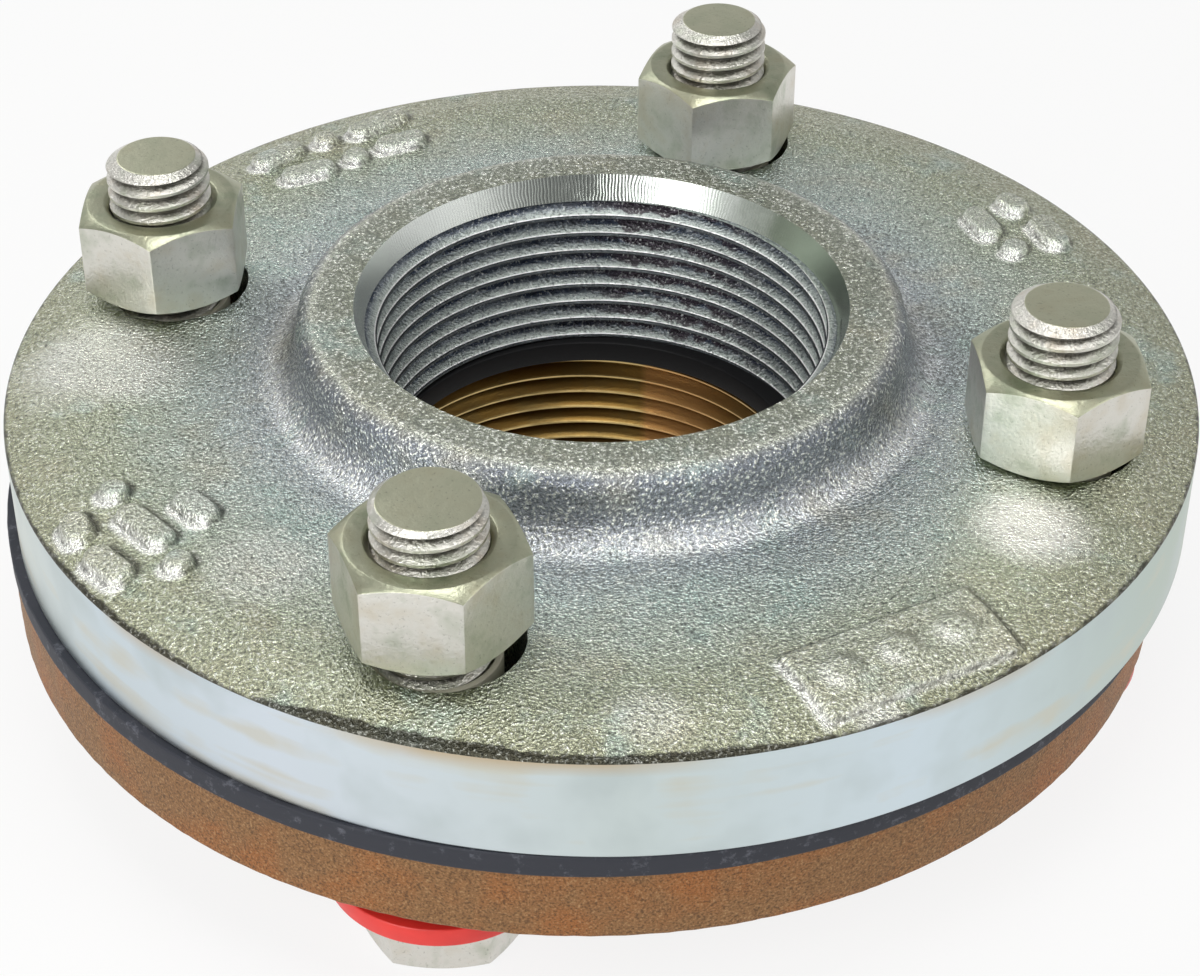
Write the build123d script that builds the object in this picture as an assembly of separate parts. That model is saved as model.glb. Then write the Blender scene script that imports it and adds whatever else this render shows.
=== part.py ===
from build123d import *
import os
from math import cos, radians, sin, tan

# Flanged dielectric union for 2-1/2 inch pipe: a zinc plated iron flange over a bronze flange,
# with a full-face rubber gasket between them and bolts that run in insulating sleeves and washers.
# Millimetres, +Z along the pipe. The bronze hub's end and the bolt heads stand on Z = 0, and the
# iron flange's bore is on the Z axis. The bolts are hand tight, so everything under the iron
# flange sits a little to -X in its play, and each nut is as far down as it was spun.

# Iron flange
rim_margin = 8.45
rim_height = 16.6
rim_edge_round = 0.5
crown_rise = 1.6
shoulder_width = 8.0
shoulder_round = 24.0
hub_rise = 12.0
hub_wall = 8.3
hub_draft = 8.0
hub_edge_round = 3.0
hub_foot_round = 5.0
face_edge_round = 0.4

# Pipe thread, in both flanges: its crest diameter, and the steep cone cut into the mouth, which ends
# at the first thread's flank. The thread is made as rings of the same form, one to each pitch.
thread_bore = 67.7
thread_pitch = 3.175
thread_flat = 0.3
thread_flank_angle = 30.0
mouth_flare = 3.1
mouth_depth = 3.8
throat_step = 1.35
throat_depth = 0.8

# Gasket
gasket_thickness = 3.6
gasket_overhang = 0.1
gasket_lip = 2.45

# Bronze flange
bronze_inset = 1.0
bronze_plate = 12.3
bronze_edge_round = 0.8

# Bolts and nuts, 5/8-11, with one turn and one lift for each, and the room for a spanner beside them
spanner_room = 5.22
first_bolt_angle = -107.25
bolt_diameter = 15.6
bolt_reach = 24.4
end_chamfer = 1.05
hex_flats = 23.5
hex_chamfer = 0.55
hex_cone = 30.0
head_height = 9.7
nut_height = 13.9
nut_mouth_bevel = 0.9
thread_gap = 0.05
nut_lifts = [2.85, 0.1, 0.35, 1.25]
nut_turns = [50.9, 32.9, 10.6, 30.0]
head_turns = [0.0, 17.0, 41.0, 26.0]
seat_gap = 0.15

# Insulation, and the play that the sleeves have in the flanges' holes
sleeve_fit = 0.5
sleeve_wall = 0.9
sleeve_end_gap = 0.45
washer_diameter = 33.4
washer_thickness = 3.15
washer_drop = 3.45
hole_play = 1.9
play_used_in_iron = 0.69
play_used_in_gasket = 0.13
play_used_in_bronze = 0.56

# Raised marks cast on the iron plate between the bolts: a plain pad, then panels with rows of bars.
# A row lists its bars' lengths; one no longer than the stroke is a round stud. Each panel is
# turned a little from the middle of its gap.
mark_height = 1.0
mark_draft = 20.0
mark_round = 0.6
mark_inset = 12.8
panel_turns = [1.75, 1.5, 7.25, 6.75]
mark_stroke = 4.2
mark_gap = 2.2
mark_lean = 9.0
row_step = 7.8
pad_length = 30.0
pad_width = 13.0
pad_round = 1.2
pad_inset = 9.6
mark_rows = [
    [[6.0, 9.5], [9.0, 4.2]],
    [[10.0, 4.2, 12.0], [9.5, 4.2, 9.0]],
    [[9.0, 6.5], [4.2, 11.0, 4.2], [8.0]],
]

# Heights up the stack
hub_depth = head_height + washer_thickness + washer_drop
bronze_height = hub_depth + bronze_plate
iron_base = bronze_height + gasket_thickness
rim_top = iron_base + rim_height
crown_top = rim_top + crown_rise
hub_top = rim_top + hub_rise
washer_top = head_height + washer_thickness
bolt_end = rim_top + bolt_reach
nut_seat = crown_top + seat_gap

# Radii, outwards from the pipe: hub, then the bolts clear of the hub's foot, then the rim
bore_radius = thread_bore / 2
flank_height = thread_pitch / 2 - thread_flat
root_radius = bore_radius + flank_height / tan(radians(thread_flank_angle))
throat_radius = bore_radius + throat_step
mouth_radius = bore_radius + mouth_flare
hub_radius = mouth_radius + hub_wall
foot_radius = hub_radius + (hub_top - crown_top) * tan(radians(hub_draft))
foot_reach = hub_foot_round * tan(radians(90 - hub_draft) / 2)
hex_radius = hex_flats / 3**0.5
bolt_circle = 2 * (foot_radius + foot_reach + spanner_room + hex_radius)
bolt_radius = bolt_diameter / 2
sleeve_bore_radius = bolt_radius + sleeve_fit
sleeve_radius = sleeve_bore_radius + sleeve_wall
hole_radius = sleeve_radius + hole_play
rim_radius = bolt_circle / 2 + hole_radius + rim_margin
bronze_radius = rim_radius - bronze_inset

# Where each layer sits in its play
bolt_shift = -play_used_in_iron * hole_play
gasket_shift = bolt_shift - play_used_in_gasket * hole_play
bronze_shift = bolt_shift - play_used_in_bronze * hole_play

bolt_count = len(nut_lifts)
bolt_angles = [first_bolt_angle + 360 * i / bolt_count for i in range(bolt_count)]
panel_angles = [angle + 180 / bolt_count + turn for angle, turn in zip(bolt_angles, panel_turns)]


def turned(*corners):
    """A solid turned about Z from corners, each given as its radius, height and rounding."""
    edge = Polyline(*[(radius, height) for radius, height, _ in corners], close=True)
    outline = Plane.XZ * make_face(edge)
    for radius, height, rounding in corners:
        if rounding:
            nearest = outline.vertices().sort_by_distance(Vector(radius, 0, height))[0]
            outline = fillet(nearest, rounding)
    return revolve(outline, Axis.Z)


def thread_rings(throat, joint):
    """The corners of the thread's grooves, from the mouth's throat towards the joint face."""
    way = 1 if joint > throat else -1
    corners = []
    for ring in range(int((abs(joint - throat) - thread_flat) / thread_pitch)):
        crest_end = throat + way * (thread_flat + ring * thread_pitch)
        root_start = crest_end + way * flank_height
        root_end = root_start + way * thread_flat
        corners += [
            (bore_radius, crest_end, 0),
            (root_radius, root_start, 0),
            (root_radius, root_end, 0),
            (bore_radius, root_end + way * flank_height, 0),
        ]
    return corners


def bolt_place(angle, shift):
    """The centre of one bolt of a ring that has slid by shift."""
    radius = bolt_circle / 2
    return Pos(shift + radius * cos(radians(angle)), radius * sin(radians(angle)), 0)


def bolt_holes(shift, low, high):
    """The ring of sleeve holes of a flange or gasket between two heights."""
    depth = high - low
    hole = Pos(0, 0, low + depth / 2) * Cylinder(hole_radius, depth)
    return [bolt_place(angle, shift) * hole for angle in bolt_angles]


def hexagon(height):
    """A hexagonal prism standing on Z = 0, with its corners cut back by a cone at both ends."""
    prism = extrude(RegularPolygon(hex_radius, 6), height)
    face_radius = hex_flats / 2 - hex_chamfer
    cone_drop = (hex_radius - face_radius) * tan(radians(hex_cone))
    envelope = turned(
        (0, 0, 0),
        (face_radius, 0, 0),
        (hex_radius, cone_drop, 0),
        (hex_radius, height - cone_drop, 0),
        (face_radius, height, 0),
        (0, height, 0),
    )
    return prism & envelope


def raised(sketch, panel_angle, inset):
    """A drafted cast mark, drawn with Y pointing outwards around a point that far in from the rim."""
    foot = rim_top - mark_height
    rise = crown_top + mark_height - foot
    spread = rise * tan(radians(mark_draft))
    wide = offset(sketch, spread)
    boss = extrude(wide, rise, taper=mark_draft)
    boss = fillet(boss.faces().sort_by(Axis.Z)[-1].edges(), mark_round)
    place = Rot(0, 0, panel_angle - 90) * Pos(0, rim_radius - inset, foot)
    return place * boss


def bar_rows(rows):
    """Rows of round-ended bars in a panel's own frame, the outermost row first."""
    bars = []
    for row, lengths in enumerate(rows):
        out = row_step * ((len(rows) - 1) / 2 - row)
        along = -(sum(lengths) + mark_gap * (len(lengths) - 1)) / 2
        for column, length in enumerate(lengths):
            lean = mark_lean * (-1) ** (row + column)
            place = Pos(along + length / 2, out) * Rot(0, 0, lean)
            if length > mark_stroke:
                bars.append(place * SlotOverall(length, mark_stroke))
            else:
                bars.append(place * Circle(length / 2))
            along += length + mark_gap
    return bars


def cast_marks():
    """The pad and the panels of bars, one panel in each gap between the bolts."""
    pad = RectangleRounded(pad_length, pad_width, pad_round)
    marks = [raised(pad, panel_angles[0], pad_inset)]
    for panel, rows in zip(panel_angles[1:], mark_rows):
        marks += [raised(shape, panel, mark_inset) for shape in bar_rows(rows)]
    return marks


def iron_flange():
    """The upper flange: plate with a low crown, hub with a chamfered mouth, holes and cast marks."""
    body = turned(
        (bore_radius, iron_base, 0),
        (rim_radius, iron_base, face_edge_round),
        (rim_radius, rim_top, rim_edge_round),
        (rim_radius - shoulder_width, crown_top, shoulder_round),
        (foot_radius, crown_top, hub_foot_round),
        (hub_radius, hub_top, hub_edge_round),
        (mouth_radius, hub_top, 0),
        (throat_radius, hub_top - mouth_depth, 0),
        (bore_radius, hub_top - mouth_depth - throat_depth, 0),
        *thread_rings(hub_top - mouth_depth - throat_depth, iron_base),
    )
    for mark in cast_marks():
        body += mark
    return body - bolt_holes(0, iron_base, crown_top)


def bronze_flange():
    """The lower flange, hub down, with a flat back and its mouth at Z = 0."""
    flank = hub_depth * tan(radians(hub_draft))
    turning = turned(
        (bore_radius, bronze_height, 0),
        (bronze_radius, bronze_height, face_edge_round),
        (bronze_radius, hub_depth, bronze_edge_round),
        (hub_radius + flank, hub_depth, hub_foot_round),
        (hub_radius, 0, hub_edge_round),
        (mouth_radius, 0, 0),
        (throat_radius, mouth_depth, 0),
        (bore_radius, mouth_depth + throat_depth, 0),
        *thread_rings(mouth_depth + throat_depth, bronze_height),
    )
    body = Pos(bronze_shift, 0, 0) * turning
    return body - bolt_holes(bronze_shift, hub_depth, bronze_height)


def gasket():
    """The full-face ring between the flanges, with its lip inside the threads' crests."""
    outside = rim_radius + gasket_overhang
    inside = bore_radius - gasket_lip
    middle = bronze_height + gasket_thickness / 2
    disc = Pos(gasket_shift, 0, middle) * Cylinder(outside, gasket_thickness)
    bore = Pos(gasket_shift, 0, middle) * Cylinder(inside, gasket_thickness)
    return disc - bore - bolt_holes(gasket_shift, bronze_height, iron_base)


def bolt(turn):
    """A hexagon bolt standing on its head, with its thread left as the plain outside diameter."""
    root = head_height / 2
    shank = turned(
        (0, root, 0),
        (bolt_radius, root, 0),
        (bolt_radius, bolt_end - end_chamfer, 0),
        (bolt_radius - end_chamfer, bolt_end, 0),
        (0, bolt_end, 0),
    )
    return Rot(0, 0, turn) * hexagon(head_height) + shank


def nut(turn, lift):
    """A double-chamfered nut with a bevelled mouth at each end of its thread."""
    bore = bolt_radius + thread_gap
    flare = bore + nut_mouth_bevel
    hole = turned(
        (0, 0, 0),
        (flare, 0, 0),
        (bore, nut_mouth_bevel, 0),
        (bore, nut_height - nut_mouth_bevel, 0),
        (flare, nut_height, 0),
        (0, nut_height, 0),
    )
    return Pos(0, 0, nut_seat + lift) * Rot(0, 0, turn) * (hexagon(nut_height) - hole)


def ring(outer_radius, inner_radius, low, high):
    """A plain tube or washer about Z."""
    height = high - low
    tube = Cylinder(outer_radius, height) - Cylinder(inner_radius, height)
    return Pos(0, 0, low + height / 2) * tube


parts = {
    "iron_flange": iron_flange(),
    "bronze_flange": bronze_flange(),
    "gasket": gasket(),
}
washer = ring(washer_diameter / 2, sleeve_bore_radius, head_height, washer_top)
sleeve = ring(sleeve_radius, sleeve_bore_radius, washer_top, rim_top - sleeve_end_gap)
for i, angle in enumerate(bolt_angles):
    place = bolt_place(angle, bolt_shift)
    parts[f"hex_bolt_{i + 1}"] = place * bolt(head_turns[i])
    parts[f"hex_nut_{i + 1}"] = place * nut(nut_turns[i], nut_lifts[i])
    parts[f"insulating_sleeve_{i + 1}"] = place * sleeve
    parts[f"insulating_washer_{i + 1}"] = place * washer

os.makedirs("parts", exist_ok=True)
for name, shape in parts.items():
    export_step(shape, f"parts/{name}.step")
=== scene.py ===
from math import ceil, cos, pi, radians, sin, sqrt, tan

import bmesh
import bpy
from mathutils import Matrix, Vector


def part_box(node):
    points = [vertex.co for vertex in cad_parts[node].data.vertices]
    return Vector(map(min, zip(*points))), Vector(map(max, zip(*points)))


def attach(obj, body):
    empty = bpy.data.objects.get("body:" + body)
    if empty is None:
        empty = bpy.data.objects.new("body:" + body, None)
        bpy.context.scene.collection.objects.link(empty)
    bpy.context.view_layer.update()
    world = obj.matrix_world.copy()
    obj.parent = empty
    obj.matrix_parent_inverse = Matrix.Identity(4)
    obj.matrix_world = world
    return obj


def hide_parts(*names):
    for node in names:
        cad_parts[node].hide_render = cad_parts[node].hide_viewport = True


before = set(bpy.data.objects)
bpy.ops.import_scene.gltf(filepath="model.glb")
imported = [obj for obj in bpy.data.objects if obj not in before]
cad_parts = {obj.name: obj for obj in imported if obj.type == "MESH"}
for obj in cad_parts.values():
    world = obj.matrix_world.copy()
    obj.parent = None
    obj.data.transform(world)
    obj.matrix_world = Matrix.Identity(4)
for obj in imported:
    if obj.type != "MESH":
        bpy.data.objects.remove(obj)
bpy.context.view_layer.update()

# A flanged dielectric union: a zinc plated iron flange over a bronze one, with a rubber gasket
# between them and insulated bolts. Sizes are in millimetres, turned to metres by mm.
mm = 0.001
boltNumbers = [1, 2, 3, 4]

# selecting, drawing a profile, spinning and cutting, as by hand

def activate(piece):
    bpy.ops.object.select_all(action="DESELECT")
    piece.select_set(True)
    bpy.context.view_layer.objects.active = piece


def editMode(piece):
    activate(piece)
    bpy.ops.object.mode_set(mode="EDIT")


def objectMode():
    bpy.ops.object.mode_set(mode="OBJECT")


# selects what passes the test, given the middle of each vertex, edge or face; returns how many
def choose(kind, test):
    bpy.ops.mesh.select_mode(type=kind)
    bpy.ops.mesh.select_all(action="DESELECT")
    mesh = bmesh.from_edit_mesh(bpy.context.object.data)
    items = {"VERT": mesh.verts, "EDGE": mesh.edges, "FACE": mesh.faces}[kind]
    chosen = 0
    for item in items:
        if kind == "VERT":
            middle = item.co
        elif kind == "EDGE":
            middle = (item.verts[0].co + item.verts[1].co) / 2
        else:
            middle = item.calc_center_median()
        if test(item, middle):
            item.select_set(True)
            chosen += 1
    bmesh.update_edit_mesh(bpy.context.object.data)
    return chosen


def chooseAll():
    bpy.ops.mesh.select_all(action="SELECT")


# a line of (radius, height, rounding) corners in the plane of X and Z, extruded point by point;
# a rounded corner is bevelled, and steps is how many pieces its arc has
def drawProfile(name, corners, steps=6):
    first = corners[0]
    bpy.ops.object.select_all(action="DESELECT")
    bpy.ops.mesh.primitive_plane_add(size=mm, location=(first[0] * mm, 0, first[1] * mm))
    piece = bpy.context.object
    piece.name = piece.data.name = name
    bpy.ops.object.transform_apply(location=True)
    bpy.ops.object.mode_set(mode="EDIT")
    bpy.ops.mesh.select_mode(type="VERT")
    chooseAll()
    bpy.ops.mesh.merge(type="CENTER")
    for here, there in zip(corners, corners[1:]):
        move = ((there[0] - here[0]) * mm, 0, (there[1] - here[1]) * mm)
        bpy.ops.mesh.extrude_region_move(TRANSFORM_OT_translate={"value": move})
    for before, corner, after in zip(corners, corners[1:], corners[2:]):
        if corner[2]:
            roundCorner(before, corner, after, steps)
    chooseAll()
    bpy.ops.mesh.remove_doubles(threshold=0.001 * mm)
    objectMode()
    return piece


def roundCorner(before, corner, after, steps):
    place = Vector((corner[0], 0, corner[1])) * mm
    inward = Vector((before[0] - corner[0], 0, before[1] - corner[1]))
    outward = Vector((after[0] - corner[0], 0, after[1] - corner[1]))
    reach = corner[2] / tan(inward.angle(outward) / 2)
    choose("VERT", lambda item, middle: (middle - place).length < 0.01 * mm)
    bpy.ops.mesh.bevel(offset_type="OFFSET", offset=reach * mm, segments=steps, affect="VERTICES")


# cuts the long edges of a profile into lengths near spacing, where the test wants it
def divideProfile(piece, spacing, test):
    editMode(piece)
    mesh = bmesh.from_edit_mesh(piece.data)
    spots = []
    for edge in mesh.edges:
        middle = (edge.verts[0].co + edge.verts[1].co) / 2
        if test(middle) and edge.calc_length() > 1.5 * spacing * mm:
            spots.append((middle.copy(), ceil(edge.calc_length() / (spacing * mm)) - 1))
    for spot, cuts in spots:
        choose("EDGE", lambda item, middle: (middle - spot).length < 0.01 * mm)
        bpy.ops.mesh.subdivide(number_cuts=cuts)
    objectMode()


# turns a profile about the Z axis, as the Screw modifier does with no rise
def spinRound(piece, steps):
    spin = piece.modifiers.new("spin", "SCREW")
    spin.steps = spin.render_steps = steps
    spin.use_merge_vertices = True
    spin.merge_threshold = 0.001 * mm
    activate(piece)
    bpy.ops.object.modifier_apply(modifier=spin.name)
    editMode(piece)
    cleanUp()
    objectMode()


def cleanUp():
    chooseAll()
    bpy.ops.mesh.remove_doubles(threshold=0.001 * mm)
    bpy.ops.mesh.normals_make_consistent(inside=False)


def combine(piece, tool, operation):
    activate(piece)
    step = piece.modifiers.new("combine", "BOOLEAN")
    step.operation = operation
    step.solver = "MANIFOLD"
    step.object = tool
    bpy.ops.object.modifier_apply(modifier=step.name)
    if piece.modifiers:
        raise RuntimeError(f"{tool.name} could not be combined with {piece.name}")
    bpy.data.objects.remove(tool)


def moveTo(piece, x, y, z=0.0, turn=0.0):
    piece.location = (x, y, z)
    piece.rotation_euler = (0, 0, radians(turn))
    activate(piece)
    bpy.ops.object.transform_apply(location=True, rotation=True)
    return piece


def copyOf(piece, name):
    twin = piece.copy()
    twin.data = piece.data.copy()
    twin.name = twin.data.name = name
    bpy.context.collection.objects.link(twin)
    return twin


def smooth(piece, angle=32):
    activate(piece)
    bpy.ops.object.shade_smooth_by_angle(angle=radians(angle))


# cuts off what lies beyond a plane, and closes the cut with a face
def cutAway(point, outward):
    chooseAll()
    bpy.ops.mesh.bisect(plane_co=point, plane_no=outward, use_fill=True, clear_outer=True, threshold=1e-8)


# a screwed rod from low to high: one turn of thread drawn, screwed round and cut square at both ends
def threadedRod(name, thread, low, high, start=0.0):
    root, crest, pitch = thread["rootRadius"], thread["crestRadius"], thread["pitch"]
    flatRoot, flatCrest = thread["rootFlat"], thread["crestFlat"]
    flank = (pitch - flatRoot - flatCrest) / 2
    turns = ceil((high - low) / pitch) + 3
    foot = low - 2 * pitch + start
    rod = drawProfile(name, [
        (root, foot, 0),
        (root, foot + flatRoot, thread["rounding"]),
        (crest, foot + flatRoot + flank, thread["rounding"]),
        (crest, foot + flatRoot + flank + flatCrest, thread["rounding"]),
        (root, foot + pitch, 0),
    ], steps=2)
    screw = rod.modifiers.new("screw", "SCREW")
    screw.screw_offset = pitch * mm
    screw.iterations = turns
    screw.steps = screw.render_steps = thread["steps"]
    screw.use_merge_vertices = True
    screw.merge_threshold = 0.001 * mm
    activate(rod)
    bpy.ops.object.modifier_apply(modifier=screw.name)
    editMode(rod)
    for height, side in ((low, -1), (high, 1)):
        cutAway((0, 0, height * mm), (0, 0, side))
    cleanUp()
    bpy.ops.mesh.fill_holes(sides=0)
    bpy.ops.mesh.normals_make_consistent(inside=False)
    objectMode()
    return rod


# the x and y of the middle of a solid's box
def middleOf(node):
    low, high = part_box(node)
    return (low.x + high.x) / 2, (low.y + high.y) / 2


# how far a point is from an upright axis
def fromAxis(spot, x=0.0, y=0.0):
    return sqrt((spot.x - x) ** 2 + (spot.y - y) ** 2)


# colours are sRGB hex values, which Blender needs linear; the looks' sizes are in millimetres, and
# what a node reads from a point is in metres
def toLinear(code):
    parts = [int(code[i:i + 2], 16) / 255 for i in (1, 3, 5)]
    return tuple(p / 12.92 if p <= 0.04045 else ((p + 0.055) / 1.055) ** 2.4 for p in parts) + (1.0,)


# adds one node: settings are its properties, its inputs' values, a ramp's stops or the range that a
# value is mapped from and to; links feed its inputs, and a node as their source stands for its
# first output in use
def addNode(tree, kind, settings=None, links=None):
    node = tree.nodes.new("ShaderNode" + kind)
    for key, value in (settings or {}).items():
        if key == "stops":
            for place, code in value[2:]:
                node.color_ramp.elements.new(place)
            for element, (place, code) in zip(node.color_ramp.elements, value):
                element.position = place
                element.color = toLinear(code)
        elif key == "range":
            for label, number in zip(("From Min", "From Max", "To Min", "To Max"), value):
                node.inputs[label].default_value = number
        elif isinstance(key, str) and hasattr(node, key):
            setattr(node, key, value)
        else:
            node.inputs[key].default_value = value
    for key, source in (links or {}).items():
        if isinstance(source, bpy.types.Node):
            source = next(output for output in source.outputs if output.enabled)
        tree.links.new(source, node.inputs[key])
    return node


def newMaterial(name):
    material = bpy.data.materials.new(name)
    material.use_nodes = True
    material.node_tree.nodes.clear()
    return material, material.node_tree


# how many of a pattern of that size in millimetres fit in one metre, as a texture's Scale
def everyMm(size):
    return 1 / (size * mm)


# ends a material: its look holds the surface's settings, and how strong and how many millimetres
# deep the relief is
def finishMaterial(material, tree, look, colour, height=None):
    links = {"Base Color": colour}
    if height is not None:
        strength, depth = look["relief"]
        relief = {"Strength": strength, "Distance": depth * mm}
        links["Normal"] = addNode(tree, "Bump", relief, {"Height": height})
    shader = addNode(tree, "BsdfPrincipled", look["surface"], links)
    addNode(tree, "OutputMaterial", {}, {"Surface": shader})
    return material


castSkin = {
    # skin colours from the hub's top outwards, with a painted highlight on the hub's edge, painted shade down
    # its side and a painted highlight at its foot: radius in mm
    "skinTintsAndShade": [(37, "#9EA392"), (42, "#A4A99B"), (43.3, "#C6CABC"), (44.2, "#9DA1A0"), (45, "#848A93"),
              (46.2, "#A4A9B0"), (47.6, "#BCC0C4"), (49.4, "#DCE0E2"), (52, "#B8C0C2"), (60, "#C0CCC6"),
              (76, "#B9C0A9"), (89, "#B2B499")],
    "tanTint": "#C2BA9E", "blueTint": "#B4C8C0", "highlightTint": "#FFFFFC",
    "pitTint": "#50554F", "peakTint": "#F4F6EE", "dirtAndShadeTint": "#2F2B25",
    "surface": {"Metallic": 1.0, "Roughness": 0.24}, "relief": (1.0, 0.38),
    "grainMm": 0.5, "fineMm": 0.24, "patchMm": 16, "edgeDirt": 0.9,
    # x, y, reach in mm and strength of painted highlights, of dark speckled patches and of a dirty edge
    "paintedHighlights": [(59.5, -42.5, 7.5, 1.0), (-46.0, -52.0, 8.0, 0.3), (6.0, -82.0, 5.0, 0.3),
                    (-75.0, -2.0, 12.0, 0.6), (36.0, -82.0, 4.0, 0.6)],
    "darkSpots": [(50.0, 4.0, 14.0, 1.0), (-48.0, 14.0, 9.0, 0.7), (44.0, 30.0, 10.0, 0.5),
                  (66.0, -33.0, 6.0, 0.5)],
    "dirtySpots": [(-24.0, -86.0, 17.0, 1.0), (6.0, -88.0, 15.0, 0.55), (-66.0, -58.0, 14.0, 0.3)],
}


# a point's distance in metres from the upright axis at that x
def axisDistance(tree, place, x=0.0):
    moved = addNode(tree, "VectorMath", {"operation": "SUBTRACT", 1: (x, 0, 0)}, {0: place}) if x else place
    flat = addNode(tree, "VectorMath", {"operation": "MULTIPLY", 1: (1, 1, 0)}, {0: moved})
    return addNode(tree, "VectorMath", {"operation": "LENGTH"}, {0: flat})


# how far a point is inside any of a list of round patches on the plate, 0 outside to its strength
def spotShare(tree, place, wander, spots):
    share = None
    for x, y, reach, strength in spots:
        middle = (x * mm, y * mm, 0.0505)
        away = addNode(tree, "VectorMath", {"operation": "DISTANCE", 1: middle}, {0: place})
        ragged = addNode(tree, "Math", {"operation": "MULTIPLY_ADD", 1: reach * 0.9 * mm}, {0: wander, 2: away})
        fade = {"range": (reach * 1.75 * mm, reach * 1.1 * mm, 0, strength)}
        inside = addNode(tree, "MapRange", fade, {"Value": ragged})
        if share is None:
            share = inside
        else:
            share = addNode(tree, "Math", {"operation": "MAXIMUM"}, {0: share, 1: inside})
    return share


# zinc plated sand casting: an olive and blue passivated skin over fine sand grain, with painted sparkle on its
# peaks, dirt and painted shade in its pits, dirt along the edge, painted highlights in patches and on the cast
# marks, dirt and painted shade round the marks' feet, and painted light and shade on the hub
def zincPlatedCasting():
    look = castSkin
    material, tree = newMaterial("zincPlatedCasting")
    place = addNode(tree, "TexCoord").outputs["Object"]
    radius = axisDistance(tree, place)
    patch = addNode(tree, "TexNoise", {"Scale": everyMm(look["patchMm"]), "Detail": 3.0}, {"Vector": place})
    cloud = addNode(tree, "TexNoise", {"Scale": everyMm(11), "Detail": 4.0, "Roughness": 0.6}, {"Vector": place})
    wander = addNode(tree, "MapRange", {"range": (0.048, 0.064, 0.0012, 0.012)}, {"Value": radius})
    centred = addNode(tree, "Math", {"operation": "SUBTRACT", 1: 0.5}, {0: patch})
    reach = addNode(tree, "Math", {"operation": "MULTIPLY_ADD"}, {0: centred, 1: wander, 2: radius})
    # the skin colours carry a painted highlight on the hub's edge and at its foot, and painted shade down its
    # side
    inner, outer = look["skinTintsAndShade"][0][0], look["skinTintsAndShade"][-1][0]
    share = addNode(tree, "MapRange", {"range": (inner * mm, outer * mm)}, {"Value": reach})
    stops = [((at - inner) / (outer - inner), code) for at, code in look["skinTintsAndShade"]]
    tint = addNode(tree, "ValToRGB", {"stops": stops}, {"Fac": share})
    warm = addNode(tree, "MapRange", {"range": (0.53, 0.72, 0, 0.35)}, {"Value": cloud})
    cool = addNode(tree, "MapRange", {"range": (0.45, 0.3, 0, 0.6)}, {"Value": cloud})
    # round patches of painted highlight on the plate
    highlightShare = spotShare(tree, place, patch, look["paintedHighlights"])
    dark = spotShare(tree, place, patch, look["darkSpots"])
    dirty = spotShare(tree, place, patch, look["dirtySpots"])
    # painted highlight on the cast marks, paler all over them and strongest on their slopes to the front left
    mark = addNode(tree, "Attribute", {"attribute_name": "castMark"})
    markPaled = addNode(tree, "Math", {"operation": "MULTIPLY", 1: 0.8}, {0: mark.outputs["Fac"]})
    highlightPaled = addNode(tree, "Math", {"operation": "MULTIPLY", 1: 0.85}, {0: highlightShare})
    paled = addNode(tree, "Math", {"operation": "MAXIMUM"}, {0: highlightPaled, 1: markPaled})
    colour = tint
    for amount, code in ((warm, "tanTint"), (cool, "blueTint"), (paled, "highlightTint")):
        colour = addNode(tree, "Mix", {"data_type": "RGBA", 7: toLinear(look[code])}, {0: amount, 6: colour})
    grain = addNode(tree, "TexNoise", {"Scale": everyMm(look["grainMm"]), "Detail": 2.0, "Roughness": 0.55},
                    {"Vector": place})
    fine = addNode(tree, "TexNoise", {"Scale": everyMm(look["fineMm"]), "Detail": 1.0}, {"Vector": place})
    lump = addNode(tree, "TexNoise", {"Scale": everyMm(1.5), "Detail": 2.0}, {"Vector": place})
    level = grain
    for share, factor in ((mark.outputs["Fac"], 0.07), (highlightShare, 0.04), (dark, -0.11)):
        level = addNode(tree, "Math", {"operation": "MULTIPLY_ADD", 1: factor}, {0: share, 2: level})
    # darker in the grain's pits, dirt and painted shade there; painted sparkle on its peaks, stronger near the
    # hub's foot and weaker where it is dirty
    pits = addNode(tree, "MapRange", {"range": (0.3, 0.44, 0.65, 0.0)}, {"Value": level})
    peaks = addNode(tree, "MapRange", {"range": (0.53, 0.66, 0, 0.9)}, {"Value": level})
    edge = radius
    for share, reach in ((dirty, 1.5), (grain, 0.9), (lump, 1.3)):
        edge = addNode(tree, "Math", {"operation": "MULTIPLY_ADD", 1: reach * mm}, {0: share, 2: edge})
    rusty = addNode(tree, "MapRange", {"range": (0.09, 0.0904, 0, look["edgeDirt"])}, {"Value": edge})
    # dirt and painted shade round the marks' feet, joined to the dirt along the edge
    foot = addNode(tree, "Attribute", {"attribute_name": "castDirt"})
    dirtAndShade = addNode(tree, "Math", {"operation": "MAXIMUM"}, {0: rusty, 1: foot.outputs["Fac"]})
    clean = addNode(tree, "MapRange", {"To Min": 1.0, "To Max": 0.4}, {"Value": dirtAndShade})
    nearHub = addNode(tree, "MapRange", {"range": (0.053, 0.048, 0.6, 1)}, {"Value": radius})
    sparkle = addNode(tree, "Math", {"operation": "MULTIPLY"}, {0: peaks, 1: nearHub})
    bright = addNode(tree, "Math", {"operation": "MULTIPLY"}, {0: sparkle, 1: clean})
    for amount, code in ((pits, "pitTint"), (dirtAndShade, "dirtAndShadeTint"), (bright, "peakTint")):
        colour = addNode(tree, "Mix", {"data_type": "RGBA", 7: toLinear(look[code])}, {0: amount, 6: colour})
    rough = addNode(tree, "Math", {"operation": "MULTIPLY"}, {0: mark.outputs["Fac"], 1: lump})
    height = grain
    for share, factor in ((rough, 0.6), (fine, 0.35)):
        height = addNode(tree, "Math", {"operation": "MULTIPLY_ADD", 1: factor}, {0: share, 2: height})
    return finishMaterial(material, tree, look, colour, height)


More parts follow.
